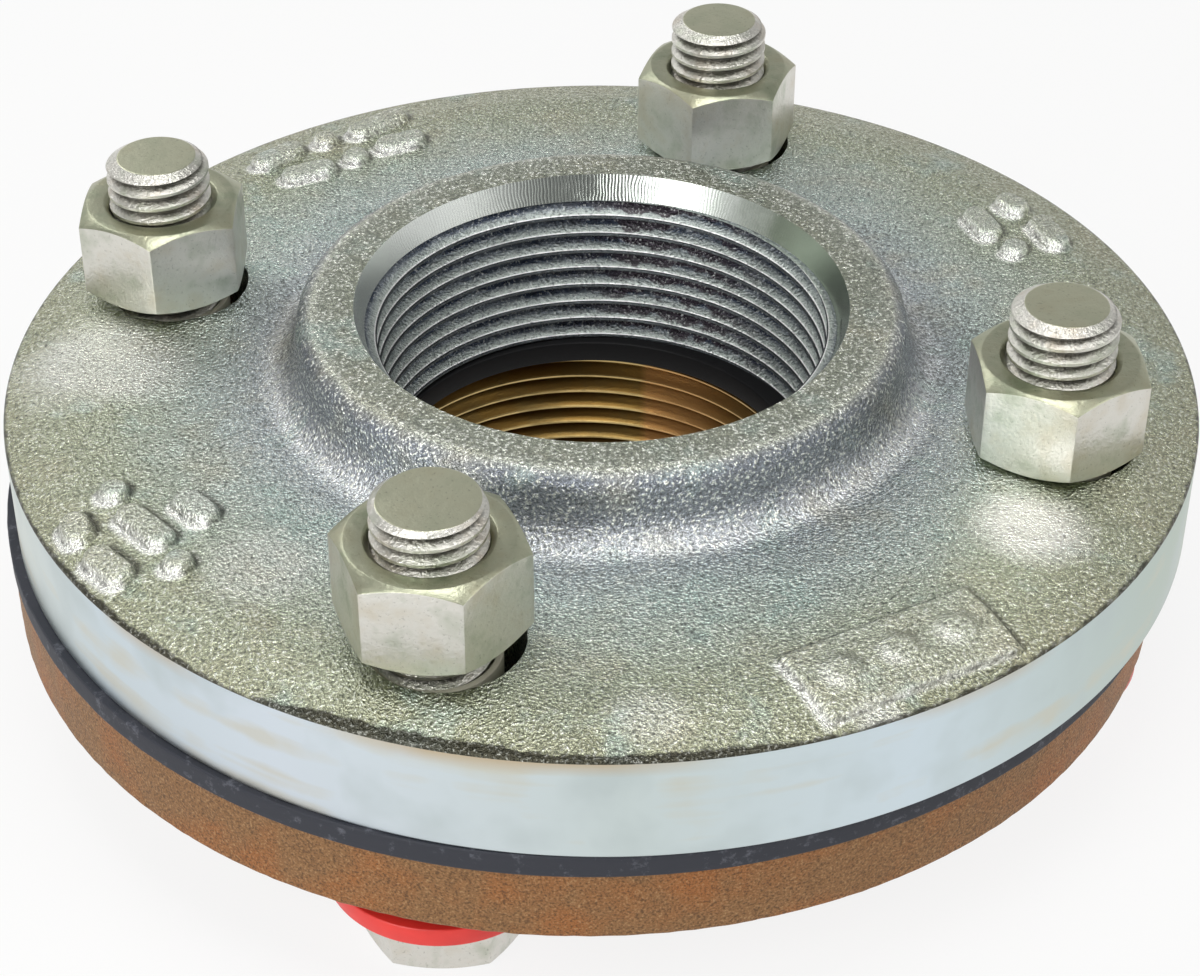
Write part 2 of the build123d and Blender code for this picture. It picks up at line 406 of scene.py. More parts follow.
turnedRim = {
    # painted reflection tints, from the left side to the right
    "reflectionTints": [(0.03, "#CED6D0"), (0.12, "#CCD8DE"), (0.26, "#D5DEE6"), (0.52, "#CBD6D5"),
                  (0.73, "#D0DDE4"), (0.86, "#C1CECC"), (0.96, "#B1BFB3")],
    "streakTint": "#CDC7B2", "darkTint": "#B9C4C4", "tanTint": "#C2AF90",
    "surface": {"Metallic": 1.0, "Roughness": 0.36}, "relief": (0.35, 0.02), "lineMm": 0.3,
    "tanSpots": [(-12.0, -88.0, 22.0, 0.8), (-60.0, -66.0, 8.0, 0.5), (50.0, -74.0, 10.0, 0.4)],
}


# turned and zinc plated edge: pale blue-grey with fine lines round it and faint tan streaks, and a painted
# reflection changing from the left side to the right
def turnedZinc():
    look = turnedRim
    material, tree = newMaterial("turnedZinc")
    place = addNode(tree, "TexCoord").outputs["Object"]
    around = addNode(tree, "Mapping", {"Scale": (30, 30, everyMm(look["lineMm"]))}, {"Vector": place})
    lines = addNode(tree, "TexNoise", {"Scale": 1.0, "Detail": 3.0}, {"Vector": around})
    cloud = addNode(tree, "TexNoise", {"Scale": everyMm(14), "Detail": 3.0}, {"Vector": place})
    streakMap = addNode(tree, "Mapping", {"Scale": (22, 22, 320)}, {"Vector": place})
    streak = addNode(tree, "TexNoise", {"Scale": 1.0, "Detail": 2.0}, {"Vector": streakMap})
    both = addNode(tree, "Math", {"operation": "MULTIPLY"}, {0: streak, 1: cloud})
    warm = addNode(tree, "MapRange", {"range": (0.28, 0.42, 0, 0.55)}, {"Value": both})
    cool = addNode(tree, "MapRange", {"range": (0.5, 0.32, 0, 0.5)}, {"Value": cloud})
    parts = addNode(tree, "SeparateXYZ", {}, {"Vector": place})
    # a painted reflection across the rim, by how far left or right a point is
    across = addNode(tree, "MapRange", {"range": (-0.0894, 0.0894)}, {"Value": parts.outputs["X"]})
    side = addNode(tree, "ValToRGB", {"stops": look["reflectionTints"]}, {"Fac": across})
    under = addNode(tree, "MapRange", {"range": (0.0462, 0.0482)}, {"Value": parts.outputs["Z"]})
    spots = spotShare(tree, place, streak, look["tanSpots"])
    stain = addNode(tree, "Math", {"operation": "MULTIPLY"}, {0: under, 1: spots})
    colour = side
    for amount, code in ((warm, "streakTint"), (cool, "darkTint"), (stain, "tanTint")):
        colour = addNode(tree, "Mix", {"data_type": "RGBA", 7: toLinear(look[code])}, {0: amount, 6: colour})
    return finishMaterial(material, tree, look, colour, lines)


cutThread = {
    "surface": {"Metallic": 1.0, "Roughness": 0.38}, "relief": (1.0, 0.34), "grainMm": 0.45,
    "rootShadeTint": "#3C4557", "glintTint": "#E2E6E4", "pitTint": "#565C60",
    "smearTint": "#453C42", "smearMm": 5.5,
    # from the crest to the root: a painted reflection and highlight at the crest, and painted shade deepening
    # into the root
    "crestReflectionAndHighlight": [(0.0, "#6E7476"), (0.03, "#3A3E40"), (0.08, "#2E3234"), (0.115, "#FFFFFF"),
                   (0.2, "#E6EAE6")],
    "depthShading": [(0.1, "#D4DAD4"), (0.28, "#BCC4BF"), (0.5, "#A2AAA9"), (0.75, "#888F96"), (1.0, "#686F78")],
}


# how deep a point is in a tapered thread, 0 at its crest and 1 at its root: middle is the bore's x,
# mouth its height, and way is 1 where the bore narrows downwards
def threadDepth(tree, place, middle, mouth, way):
    radius = axisDistance(tree, place, middle)
    parts = addNode(tree, "SeparateXYZ", {}, {"Vector": place})
    taper = pipeThread["taper"] * way
    drop = addNode(tree, "Math", {"operation": "MULTIPLY_ADD", 1: -taper, 2: mouth * taper},
                   {0: parts.outputs["Z"]})
    full = addNode(tree, "Math", {"operation": "ADD"}, {0: radius, 1: drop})
    low, high = pipeThread["rootRadius"] * mm, pipeThread["crestRadius"] * mm
    return addNode(tree, "MapRange", {"range": (low, high)}, {"Value": full})


# cut pipe thread, zinc plated and grainy: a thin dark painted reflection and a thin painted highlight at each
# crest, grey flanks with painted glints, patchy blue painted shade and darker painted shade towards the roots,
# and brown smears on the right side
def cutZincThread():
    look = cutThread
    material, tree = newMaterial("cutZincThread")
    place = addNode(tree, "TexCoord").outputs["Object"]
    depth = threadDepth(tree, place, 0.0, ironFlange["hubHeight"] * mm, 1)
    grain = addNode(tree, "TexNoise", {"Scale": everyMm(look["grainMm"]), "Detail": 2.0, "Roughness": 0.6},
                    {"Vector": place})
    wave = addNode(tree, "TexNoise", {"Scale": everyMm(1.8), "Detail": 2.0}, {"Vector": place})
    ragged = addNode(tree, "Math", {"operation": "MULTIPLY_ADD", 1: 0.2, 2: -0.1}, {0: wave})
    deep = addNode(tree, "Math", {"operation": "ADD"}, {0: depth, 1: ragged})
    # painted shade deepening from the crest down into the root
    depthShading = addNode(tree, "ValToRGB", {"stops": look["depthShading"]}, {"Fac": deep})
    # patchy blue painted shade in the roots
    patch = addNode(tree, "TexNoise", {"Scale": everyMm(6), "Detail": 4.0, "Roughness": 0.65}, {"Vector": place})
    dull = addNode(tree, "MapRange", {"range": (0.42, 0.56, 0.1, 0.9)}, {"Value": patch})
    low = addNode(tree, "MapRange", {"range": (0.6, 0.75)}, {"Value": deep})
    rootShade = addNode(tree, "Math", {"operation": "MULTIPLY"}, {0: dull, 1: low})
    parts = addNode(tree, "SeparateXYZ", {}, {"Vector": place})
    right = addNode(tree, "MapRange", {"range": (-0.008, 0.004)}, {"Value": parts.outputs["X"]})
    smear = addNode(tree, "TexNoise", {"Scale": everyMm(look["smearMm"]), "Detail": 4.0, "Roughness": 0.6},
                    {"Vector": place})
    spread = addNode(tree, "Math", {"operation": "MULTIPLY_ADD", 1: 3.2}, {0: smear, 2: depth})
    wet = addNode(tree, "MapRange", {"range": (2.12, 2.3, 0, 0.85)}, {"Value": spread})
    within = addNode(tree, "MapRange", {"range": (0.027, 0.019, 0.15, 1)}, {"Value": parts.outputs["X"]})
    side = addNode(tree, "Math", {"operation": "MULTIPLY"}, {0: right, 1: within})
    smears = addNode(tree, "Math", {"operation": "MULTIPLY"}, {0: side, 1: wet})
    # a thin dark painted reflection and a thin painted highlight at each crest
    lines = addNode(tree, "ValToRGB", {"stops": look["crestReflectionAndHighlight"]}, {"Fac": depth})
    crest = addNode(tree, "MapRange", {"range": (0.21, 0.16)}, {"Value": depth})
    # painted glints on the grain
    specks = addNode(tree, "MapRange", {"range": (0.55, 0.68, 0, 0.6)}, {"Value": grain})
    pits = addNode(tree, "MapRange", {"range": (0.44, 0.33, 0, 0.65)}, {"Value": grain})
    colour = depthShading
    for amount, code in ((rootShade, "rootShadeTint"), (pits, "pitTint"), (smears, "smearTint"), (specks, "glintTint")):
        colour = addNode(tree, "Mix", {"data_type": "RGBA", 7: toLinear(look[code])}, {0: amount, 6: colour})
    colour = addNode(tree, "Mix", {"data_type": "RGBA"}, {0: crest, 6: colour, 7: lines})
    return finishMaterial(material, tree, look, colour, grain)


chamfer = {
    "tint": "#C9CFC8", "paleTint": "#F2F6F2", "dullTint": "#85907F", "darkTint": "#5E6563",
    "surface": {"Metallic": 1.0, "Roughness": 0.27}, "relief": (1.0, 0.016), "marks": 420,
    "chatterAngle": 96, "chatterReach": 34,  # degrees: where the tool chattered most, and where it stops
}


# the mouth's cone, turned, with fine light and dark marks down it where the tool chattered; a painted reflection
# makes it paler on the left and duller on the right
def chatteredZinc():
    look = chamfer
    material, tree = newMaterial("chatteredZinc")
    place = addNode(tree, "TexCoord").outputs["Object"]
    parts = addNode(tree, "SeparateXYZ", {}, {"Vector": place})
    angle = addNode(tree, "Math", {"operation": "ARCTAN2"}, {0: parts.outputs["Y"], 1: parts.outputs["X"]})
    wave = addNode(tree, "TexNoise", {"Scale": everyMm(3), "Detail": 1.0}, {"Vector": place})
    uneven = addNode(tree, "Math", {"operation": "MULTIPLY_ADD", 1: 0.03}, {0: wave, 2: angle})
    count = addNode(tree, "Math", {"operation": "MULTIPLY", 1: float(look["marks"])}, {0: uneven})
    ridges = addNode(tree, "Math", {"operation": "SINE"}, {0: count})
    away = addNode(tree, "Math", {"operation": "SUBTRACT", 1: radians(look["chatterAngle"])}, {0: angle})
    aside = addNode(tree, "Math", {"operation": "ABSOLUTE"}, {0: away})
    near = addNode(tree, "MapRange", {"range": (radians(look["chatterReach"]), 0.12, 0.26, 1)}, {"Value": aside})
    patch = addNode(tree, "TexNoise", {"Scale": everyMm(4), "Detail": 7.0, "Roughness": 0.65}, {"Vector": place})
    strong = addNode(tree, "MapRange", {"range": (0.3, 0.6, 0.35, 1)}, {"Value": patch})
    amount = addNode(tree, "Math", {"operation": "MULTIPLY"}, {0: near, 1: strong})
    height = addNode(tree, "Math", {"operation": "MULTIPLY"}, {0: ridges, 1: amount})
    share = addNode(tree, "MapRange", {"range": (0.1, 0.6, 0, 0.5)}, {"Value": height})
    # painted reflection: paler towards the left side, and duller towards the right
    pale = addNode(tree, "MapRange", {"range": (-0.008, -0.025)}, {"Value": parts.outputs["X"]})
    cloudy = addNode(tree, "Math", {"operation": "MULTIPLY_ADD", 1: 0.012}, {0: patch, 2: parts.outputs["X"]})
    dull = addNode(tree, "MapRange", {"range": (0.026, 0.034, 0, 0.9)}, {"Value": cloudy})
    ground = {"data_type": "RGBA", 6: toLinear(look["tint"]), 7: toLinear(look["paleTint"])}
    colour = addNode(tree, "Mix", ground, {0: pale})
    for amount, code in ((dull, "dullTint"), (share, "darkTint")):
        colour = addNode(tree, "Mix", {"data_type": "RGBA", 7: toLinear(look[code])}, {0: amount, 6: colour})
    return finishMaterial(material, tree, look, colour, height)


bronzeSkin = {"tint": "#906A45", "darkTint": "#56402C", "paleTint": "#B8966C", "orangeTint": "#A56736",
              "surface": {"Metallic": 0.6, "Roughness": 0.55}, "relief": (1.0, 0.15), "grainMm": 0.36}


# sand cast bronze, dull brown with fine dark and light speckle and orange patches
def sandCastBronze():
    look = bronzeSkin
    material, tree = newMaterial("sandCastBronze")
    place = addNode(tree, "TexCoord").outputs["Object"]
    grain = addNode(tree, "TexNoise", {"Scale": everyMm(look["grainMm"]), "Detail": 2.0, "Roughness": 0.6},
                    {"Vector": place})
    patch = addNode(tree, "TexNoise", {"Scale": everyMm(12), "Detail": 3.0}, {"Vector": place})
    dark = addNode(tree, "MapRange", {"range": (0.49, 0.36, 0, 0.75)}, {"Value": grain})
    pale = addNode(tree, "MapRange", {"range": (0.56, 0.7, 0, 0.7)}, {"Value": grain})
    warm = addNode(tree, "MapRange", {"range": (0.46, 0.64, 0, 0.7)}, {"Value": patch})
    ground = {"data_type": "RGBA", 6: toLinear(look["tint"]), 7: toLinear(look["orangeTint"])}
    colour = addNode(tree, "Mix", ground, {0: warm})
    for amount, code in ((dark, "darkTint"), (pale, "paleTint")):
        colour = addNode(tree, "Mix", {"data_type": "RGBA", 7: toLinear(look[code])}, {0: amount, 6: colour})
    return finishMaterial(material, tree, look, colour, grain)


bronzeCut = {
    "dullTint": "#7F6C42", "stripHighlightTint": "#BE8C58", "grainMm": 0.45,
    "surface": {"Metallic": 1.0, "Roughness": 0.36}, "relief": (0.6, 0.06),
    # from the crest to the root: a painted highlight at the crest and painted shade deepening into the root
    "depthShading": [(0.0, "#C2AA74"), (0.06, "#AE9058"), (0.14, "#8C6E3A"), (0.6, "#8A6D39"), (0.85, "#806434"),
              (1.0, "#73592C")],
}


# cut bronze thread, golden with a painted highlight at its crests, darker brown with painted shade in its roots,
# and a painted highlight in a strip on the right
def cutBronzeThread():
    look = bronzeCut
    material, tree = newMaterial("cutBronzeThread")
    place = addNode(tree, "TexCoord").outputs["Object"]
    parts = addNode(tree, "SeparateXYZ", {}, {"Vector": place})
    depth = threadDepth(tree, place, middleOf("bronze_flange")[0], 0.0, -1)
    # painted highlight at the crests and painted shade deepening into the roots
    depthShading = addNode(tree, "ValToRGB", {"stops": look["depthShading"]}, {"Fac": depth})
    patch = addNode(tree, "TexNoise", {"Scale": everyMm(9), "Detail": 4.0, "Roughness": 0.6}, {"Vector": place})
    dull = addNode(tree, "MapRange", {"range": (0.46, 0.64, 0, 0.7)}, {"Value": patch})
    # a strip of painted highlight on the right side of the bore
    right = addNode(tree, "MapRange", {"range": (0.0064, 0.0076, 0, 0.6)}, {"Value": parts.outputs["X"]})
    beyond = addNode(tree, "MapRange", {"range": (0.024, 0.016, 0.3, 1)}, {"Value": parts.outputs["X"]})
    glow = addNode(tree, "Math", {"operation": "MULTIPLY"}, {0: right, 1: beyond})
    colour = depthShading
    for amount, code in ((dull, "dullTint"), (glow, "stripHighlightTint")):
        colour = addNode(tree, "Mix", {"data_type": "RGBA", 7: toLinear(look[code])}, {0: amount, 6: colour})
    grain = addNode(tree, "TexNoise", {"Scale": everyMm(look["grainMm"]), "Detail": 2.0}, {"Vector": place})
    return finishMaterial(material, tree, look, colour, grain)


rubber = {"tint": "#34363D", "scuffTint": "#777982", "boreShadeTint": "#0B0B0D",
          "surface": {"Roughness": 0.6, "Specular IOR Level": 0.25}, "relief": (0.6, 0.1)}


# cut rubber sheet: near black, with a grey bloom and scuffs round its outside edge, and painted shade
# making it darker inside the bore
def cutRubber():
    look = rubber
    material, tree = newMaterial("cutRubber")
    place = addNode(tree, "TexCoord").outputs["Object"]
    scuff = addNode(tree, "TexNoise", {"Scale": everyMm(2.2), "Detail": 5.0, "Roughness": 0.72},
                    {"Vector": place})
    bloom = addNode(tree, "MapRange", {"range": (0.56, 0.76, 0, 0.8)}, {"Value": scuff})
    ground = {"data_type": "RGBA", 6: toLinear(look["tint"]), 7: toLinear(look["scuffTint"])}
    scuffed = addNode(tree, "Mix", ground, {0: bloom})
    radius = axisDistance(tree, place)
    # painted shade: near black inside the bore
    inside = addNode(tree, "MapRange", {"range": (0.05, 0.04)}, {"Value": radius})
    colour = addNode(tree, "Mix", {"data_type": "RGBA", 7: toLinear(look["boreShadeTint"])}, {0: inside, 6: scuffed})
    return finishMaterial(material, tree, look, colour, scuff)


fastener = {"tint": "#D8D6CE", "warmTint": "#C6BCA6", "greenTint": "#A8B09C", "grooveTint": "#4E4D44",
            "surface": {"Metallic": 1.0, "Roughness": 0.35}, "dentMm": 0.9, "relief": (0.8, 0.1)}
# the bolts' end faces and the nuts' top faces: darker, more olive copies of the plated steel, painted shade
boltEnd = {"tint": "#C8C9B0", "warmTint": "#C0BCA0", "greenTint": "#B9BEA4", "grooveTint": "#4E4D44",
           "surface": {"Metallic": 1.0, "Roughness": 0.38}, "dentMm": 1.6, "relief": (0.8, 0.1)}
threadSkin = {"tint": "#DCDAD2", "warmTint": "#BDAC94", "greenTint": "#AEB8A0", "grooveTint": "#54524A",
              "surface": {"Metallic": 1.0, "Roughness": 0.32}, "dentMm": 0.6, "relief": (0.8, 0.3)}
nutTop = {"tint": "#B4B69E", "warmTint": "#ACA68A", "greenTint": "#929E84", "grooveTint": "#4E4D44",
          "surface": {"Metallic": 1.0, "Roughness": 0.38}, "dentMm": 1.2, "relief": (0.8, 0.12)}


# zinc plated and tumbled steel: satin, with soft straw and green tints, small dents and dark specks, and painted
# shade in the grooves
def platedSteel(name, look):
    material, tree = newMaterial(name)
    place = addNode(tree, "TexCoord").outputs["Object"]
    patch = addNode(tree, "TexNoise", {"Scale": everyMm(6), "Detail": 3.0, "Roughness": 0.6}, {"Vector": place})
    dents = addNode(tree, "TexNoise", {"Scale": everyMm(look["dentMm"]), "Detail": 3.0, "Roughness": 0.6},
                    {"Vector": place})
    warm = addNode(tree, "MapRange", {"range": (0.52, 0.75, 0, 0.6)}, {"Value": patch})
    green = addNode(tree, "MapRange", {"range": (0.48, 0.3, 0, 0.6)}, {"Value": patch})
    # painted shade in the thread's grooves, from the groove attribute, with darker dents
    groove = addNode(tree, "Attribute", {"attribute_name": "groove"})
    worn = addNode(tree, "Math", {"operation": "MULTIPLY_ADD", 1: 0.7, 2: -0.35}, {0: dents})
    grooveShadeAndWear = addNode(tree, "Math", {"operation": "ADD"}, {0: groove.outputs["Fac"], 1: worn})
    dirty = addNode(tree, "MapRange", {"range": (0.4, 0.8, 0, 0.8)}, {"Value": grooveShadeAndWear})
    grain = addNode(tree, "TexNoise", {"Scale": everyMm(0.45), "Detail": 3.0, "Roughness": 0.65},
                    {"Vector": place})
    specks = addNode(tree, "MapRange", {"range": (0.4, 0.28, 0, 0.35)}, {"Value": grain})
    spotted = addNode(tree, "Math", {"operation": "MAXIMUM"}, {0: dirty, 1: specks})
    ground = {"data_type": "RGBA", 6: toLinear(look["tint"]), 7: toLinear(look["warmTint"])}
    colour = addNode(tree, "Mix", ground, {0: warm})
    for amount, code in ((green, "greenTint"), (spotted, "grooveTint")):
        colour = addNode(tree, "Mix", {"data_type": "RGBA", 7: toLinear(look[code])}, {0: amount, 6: colour})
    uneven = addNode(tree, "Math", {"operation": "MULTIPLY_ADD", 1: 0.3}, {0: grain, 2: dents})
    return finishMaterial(material, tree, look, colour, uneven)


washer = {"tint": "#EE3B33", "darkTint": "#D42A26",
          "surface": {"Roughness": 0.38, "IOR": 1.53}, "relief": (0.3, 0.04),
          "low": 9.7, "high": 12.85, "outerRadius": 16.7, "boreRadius": 8.3, "rounding": 0.25}


# moulded red nylon, a little uneven in colour, with a soft gloss
def redNylon():
    look = washer
    material, tree = newMaterial("redNylon")
    place = addNode(tree, "TexCoord").outputs["Object"]
    cloud = addNode(tree, "TexNoise", {"Scale": everyMm(4), "Detail": 3.0}, {"Vector": place})
    ground = {"data_type": "RGBA", 6: toLinear(look["tint"]), 7: toLinear(look["darkTint"])}
    colour = addNode(tree, "Mix", ground, {0: cloud})
    return finishMaterial(material, tree, look, colour, cloud)


sleeve = {"tint": "#D9D6C4", "darkTint": "#BDB9A4", "surface": {"Roughness": 0.42, "IOR": 1.51},
          "low": 12.85, "high": 48.35, "outerRadius": 9.2, "boreRadius": 8.3, "rounding": 0.12}


# extruded polyethylene tube: pale and waxy, a little uneven in colour
def paleTube():
    look = sleeve
    material, tree = newMaterial("extrudedPolyethylene")
    place = addNode(tree, "TexCoord").outputs["Object"]
    cloud = addNode(tree, "TexNoise", {"Scale": everyMm(5), "Detail": 2.0}, {"Vector": place})
    ground = {"data_type": "RGBA", 6: toLinear(look["tint"]), 7: toLinear(look["darkTint"])}
    colour = addNode(tree, "Mix", ground, {0: cloud})
    return finishMaterial(material, tree, look, colour)


# gives the faces that pass the test, by middle and normal, a material of their own
def paint(piece, material, test=None):
    if test is None:
        piece.data.materials.clear()
        piece.data.materials.append(material)
        return
    piece.data.materials.append(material)
    editMode(piece)
    chosen = choose("FACE", lambda item, middle: test(middle, item.normal))
    piece.active_material_index = len(piece.data.materials) - 1
    if chosen:
        bpy.ops.object.material_slot_assign()
    objectMode()


def handOver(piece, slot, *nodes):
    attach(piece, "root")
    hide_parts(*nodes)


# both flanges are cut by the same tapered tap: root and crest here are the tap's own
pipeThread = {
    "rootRadius": 33.85, "crestRadius": 36.0, "pitch": 3.175, "rootFlat": 0.3, "crestFlat": 0.3,
    "rounding": 0.12, "steps": 240, "taper": 1 / 32,
}


# the blank's bore, the cone at its mouth and the bolt holes are the same in both flanges too
boreMouth = {"blankBore": 32.5, "throatRadius": 35.2, "mouthRadius": 36.95, "mouthDepth": 3.8, "steps": 360}
boltHoles = {"radius": 11.1, "circle": 139.69, "firstAngle": -107.25}
smallSteps = 96  # round a bolt, a sleeve or a hole


# a tapered tap whose mouth end is at the top, from the mouth's height downwards
def pipeTap(low, mouth, start):
    look = pipeThread
    tap = threadedRod("tap", look, low, mouth + 2, start)
    narrow = tap.modifiers.new("taper", "SIMPLE_DEFORM")
    narrow.deform_method = "TAPER"
    narrow.deform_axis = "Z"
    pivot = bpy.data.objects.new("pivot", None)
    bpy.context.scene.collection.objects.link(pivot)
    pivot.location = (0, 0, mouth * mm)
    narrow.origin = pivot
    narrow.factor = look["taper"] * (mouth + 2 - low) / look["rootRadius"]
    activate(tap)
    bpy.ops.object.modifier_apply(modifier=narrow.name)
    bpy.data.objects.remove(pivot)
    return tap


# the steep cone at a bore's mouth, which opens upwards
def mouthCutter(mouth):
    throat, wide, depth = boreMouth["throatRadius"], boreMouth["mouthRadius"], boreMouth["mouthDepth"]
    slope = (wide - throat) / depth
    cone = drawProfile("mouthCutter", [
        (0, mouth - depth, 0), (throat, mouth - depth, 0), (wide + slope * 2, mouth + 2, 0), (0, mouth + 2, 0),
    ])
    spinRound(cone, boreMouth["steps"])
    return cone


def drillHoles(piece, low, high, shift):
    radius, reach = boltHoles["radius"], boltHoles["circle"] / 2 * mm
    for number in boltNumbers:
        angle = radians(boltHoles["firstAngle"] + 90 * (number - 1))
        corners = [(0, low - 2, 0), (radius, low - 2, 0), (radius, high + 3, 0), (0, high + 3, 0)]
        hole = drawProfile("drill", corners)
        spinRound(hole, smallSteps)
        moveTo(hole, shift * mm + reach * cos(angle), reach * sin(angle))
        combine(piece, hole, "DIFFERENCE")


ironFlange = {
    "baseHeight": 32.2, "rimHeight": 48.8, "crownHeight": 50.4, "hubHeight": 60.8,
    "rimRadius": 89.396, "shoulderWidth": 8.0, "shoulderRound": 24.0, "rimEdgeRound": 0.5,
    "footRadius": 46.71, "footRound": 5.0, "hubRadius": 45.25, "hubEdgeRound": 3.0,
    "threadStart": 1.365,  # shifts the thread along the bore
    "steps": 720, "skinSpacing": 0.84, "lumpHeight": 0.25, "lumpMm": 2.4,
    # where the looks change: the plate lies above plateFrom, the turned rim below rimBelow and outside
    # rimOutside, the thread inside threadInside, and the cone between its heights, radii and slopes
    "plateFrom": 48.6, "rimBelow": 48.38, "rimOutside": 88.8, "threadInside": 36.8,
    "coneHeights": (56.98, 60.8), "coneRadii": (35.0, 36.98), "coneSlopes": (0.2, 0.6),
}
# raised marks cast on the plate: where each panel's middle is, and its rows of bars
castMarks = {
    # footShadeAndDirt: how dark the dirt and painted shade round the marks' feet are
    "height": 1.6, "stroke": 4.2, "gap": 2.2, "lean": 9.0, "rowStep": 7.8, "softness": 1.2, "footShadeAndDirt": 0.75,
    "padAngle": -60.5, "padRadius": 79.8, "padLength": 30.0, "padWidth": 13.0, "padHeight": 0.6,
    "studHeight": 0.95, "studRadius": 2.2, "panelRadius": 76.6,
    "panels": [
        (29.25, [[6.0, 9.5], [9.0, 4.2]]),
        (125.0, [[10.0, 4.2, 12.0], [9.5, 4.2, 9.0]]),
        (214.5, [[9.0, 6.5], [4.2, 11.0, 4.2], [8.0]]),
    ],
}


def makeIronFlange():
    size = ironFlange
    body = drawProfile("ironFlange", [
        (boreMouth["blankBore"], size["baseHeight"], 0),
        (size["rimRadius"], size["baseHeight"], 0.4),
        (size["rimRadius"], size["rimHeight"], size["rimEdgeRound"]),
        (size["rimRadius"] - size["shoulderWidth"], size["crownHeight"], size["shoulderRound"]),
        (size["footRadius"], size["crownHeight"], size["footRound"]),
        (size["hubRadius"], size["hubHeight"], size["hubEdgeRound"]),
        (boreMouth["blankBore"], size["hubHeight"], 0),
        (boreMouth["blankBore"], size["baseHeight"], 0),
    ])
    divideProfile(body, size["skinSpacing"], lambda spot: spot.z > (size["rimHeight"] + 0.05) * mm)
    spinRound(body, size["steps"])
    combine(body, pipeTap(size["baseHeight"] - 2, size["hubHeight"], size["threadStart"]), "DIFFERENCE")
    combine(body, mouthCutter(size["hubHeight"]), "DIFFERENCE")
    drillHoles(body, size["baseHeight"], size["crownHeight"], 0)
    editMode(body)
    cleanUp()
    choose("FACE", lambda item, middle: middle.z > (size["plateFrom"] + 0.1) * mm and markNear(middle))
    bpy.ops.mesh.subdivide(number_cuts=1)
    objectMode()
    raiseMarks(body)
    inner, outer = (boreMouth["mouthRadius"] + 0.4) * mm, (size["rimRadius"] - 0.9) * mm
    roughen(body, "sandLumps", size["lumpMm"], size["lumpHeight"], 0.5,
            lambda spot: spot.z > (size["rimHeight"] + 0.1) * mm and inner < fromAxis(spot) < outer)
    smooth(body)
    return body


# a soft step from 1 inside an outline to 0 outside it, given how far outside a point is
def softEdge(distance, softness):
    t = min(max(0.5 - distance / softness, 0), 1)
    return t * t * (3 - 2 * t)


# where a point is on a panel of marks: along the rim, clockwise, and outwards from the panel's middle
def onPanel(spot, angle, radius):
    turn = radians(angle)
    along = spot.x / mm * sin(turn) - spot.y / mm * cos(turn)
    return along, spot.x / mm * cos(turn) + spot.y / mm * sin(turn) - radius


def markNear(spot):
    look = castMarks
    if fromAxis(spot) > (ironFlange["rimRadius"] - 1) * mm:
        return False
    along, out = onPanel(spot, look["padAngle"], look["padRadius"])
    if abs(along) < look["padLength"] / 2 + 2 and abs(out) < look["padWidth"] / 2 + 2:
        return True
    for panelAngle, rows in look["panels"]:
        along, out = onPanel(spot, panelAngle, look["panelRadius"])
        # a panel's bars end within 15 mm of its middle
        if abs(along) < 18 and abs(out) < 2 + look["rowStep"] * len(rows) / 2:
            return True
    return False


# how high the marks stand at a point, as a share of their full height
def markWeight(spot):
    look = castMarks
    along, out = onPanel(spot, look["padAngle"], look["padRadius"])
    onPad = softEdge(max(abs(along) - look["padLength"] / 2, abs(out) - look["padWidth"] / 2), look["softness"])
    best = look["padHeight"] * onPad
    for place in (-0.3, 0.0, 0.3):  # worn studs along the pad
        distance = sqrt((along - place * look["padLength"]) ** 2 + out ** 2)
        above = (look["studHeight"] - look["padHeight"]) * softEdge(distance - look["studRadius"], 2.4)
        best = max(best, onPad * (look["padHeight"] + above))
    for panelAngle, rows in look["panels"]:
        along, out = onPanel(spot, panelAngle, look["panelRadius"])
        if abs(along) > 22 or abs(out) > 16:  # beyond every bar of a panel
            continue
        for row, lengths in enumerate(rows):
            rowOut = look["rowStep"] * ((len(rows) - 1) / 2 - row)
            begin = -(sum(lengths) + look["gap"] * (len(lengths) - 1)) / 2
            for column, length in enumerate(lengths):
                lean = radians(look["lean"] * (-1) ** (row + column))
                dx, dy = along - begin - length / 2, out - rowOut
                barX, barY = dx * cos(lean) + dy * sin(lean), -dx * sin(lean) + dy * cos(lean)
                reach = max((length - look["stroke"]) / 2, 0)
                distance = sqrt(max(abs(barX) - reach, 0) ** 2 + barY ** 2)
                best = max(best, softEdge(distance - look["stroke"] / 2, look["softness"]))
                begin += length + look["gap"]
    return best


